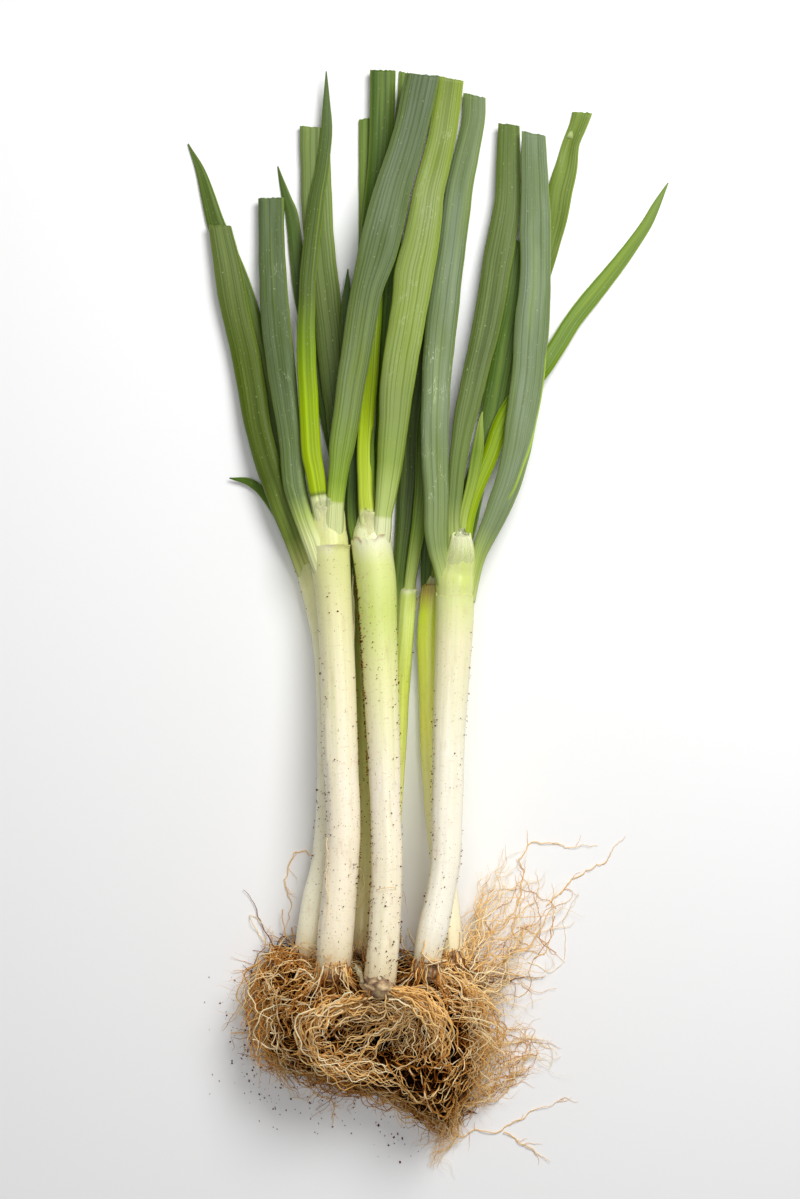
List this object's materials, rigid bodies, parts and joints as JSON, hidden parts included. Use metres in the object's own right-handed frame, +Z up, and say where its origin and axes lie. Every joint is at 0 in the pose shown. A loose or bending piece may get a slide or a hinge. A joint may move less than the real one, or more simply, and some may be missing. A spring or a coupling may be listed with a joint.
{
  "type": "spring onion",
  "caption": "Clump of spring onions lying flat: hollow green leaves with cut ends on white stems, grown together at one tangled mat of roots.",
  "frame": {"origin": "centre of the whole clump's outline, on the surface that it lies on", "axes": "+Y from the roots to the leaf ends, +Z up from the surface, +X to the right with the leaf ends pointing away"},
  "size_m": [0.2032, 0.4672, 0.0492],
  "materials": {
    "leaf_blue_green": "waxy bloom over a fine lengthwise grain",
    "leaf_mid_green": "satin, fine lengthwise grain",
    "leaf_young_green": "satin, moist",
    "stem_white": "moist, fine lengthwise veins",
    "stem_green_white": "moist, fine lengthwise veins",
    "skin_paper": "dry papery skin",
    "root_plate_brown": "matt, wrinkled",
    "root_tan": "matt, dry, with soil"
  },
  "bodies": {
    "root": {"a_stem": "stem_white", "a_root_plate": "root_plate_brown", "b_stem": "stem_white", "b_root_plate": "root_plate_brown", "c_stem": "stem_white", "c_root_plate": "root_plate_brown", "d_stem": "stem_green_white", "d_root_plate": "root_plate_brown", "e_stem": "stem_green_white", "e_root_plate": "root_plate_brown", "f_stem": "stem_green_white", "f_root_plate": "root_plate_brown", "g_stem": "stem_green_white", "g_root_plate": "root_plate_brown", "d_leaf_curled": "leaf_mid_green", "d_leaf_pointed": "leaf_mid_green", "d_leaf_cut": "leaf_mid_green", "e_leaf_narrow": "leaf_mid_green", "e_leaf_pointed": "leaf_blue_green", "e_leaf_broad": "leaf_mid_green", "g_leaf_crumpled": "leaf_mid_green", "g_leaf_short": "leaf_blue_green", "f_leaf_broad": "leaf_blue_green", "c_leaf_back": "leaf_mid_green", "c_leaf_long_pointed": "leaf_young_green", "f_leaf_narrow": "leaf_young_green", "b_leaf_short_pointed": "leaf_blue_green", "b_leaf_ragged": "leaf_young_green", "b_leaf_two_tone": "leaf_young_green", "c_leaf_hooked": "leaf_young_green", "c_leaf_grey_green": "leaf_mid_green", "c_leaf_blue_left": "leaf_blue_green", "c_leaf_slit": "leaf_blue_green", "a_leaf_blue": "leaf_blue_green", "a_leaf_pointed": "leaf_young_green", "b_leaf_tiny": "leaf_young_green", "b_leaf_wide": "leaf_mid_green", "a_leaf_large": "leaf_blue_green", "a_torn_skin": "skin_paper", "a_peeling_strip": "skin_paper", "b_brown_collar": "skin_paper", "b_root_scale": "skin_paper", "c_clear_collar": "skin_paper", "f_collar_flap": "skin_paper", "a_roots": "root_tan", "b_roots": "root_tan", "c_roots": "root_tan", "d_roots": "root_tan", "e_roots": "root_tan", "f_roots": "root_tan", "g_roots": "root_tan", "c_root_fan": "root_tan", "b_root_tail": "root_tan", "loose_root_1": "root_tan", "loose_root_2": "root_tan", "loose_root_3": "root_tan", "loose_root_4": "root_tan", "loose_root_5": "root_tan", "loose_root_6": "root_tan", "loose_root_7": "root_tan"}
  },
  "joints": []
}
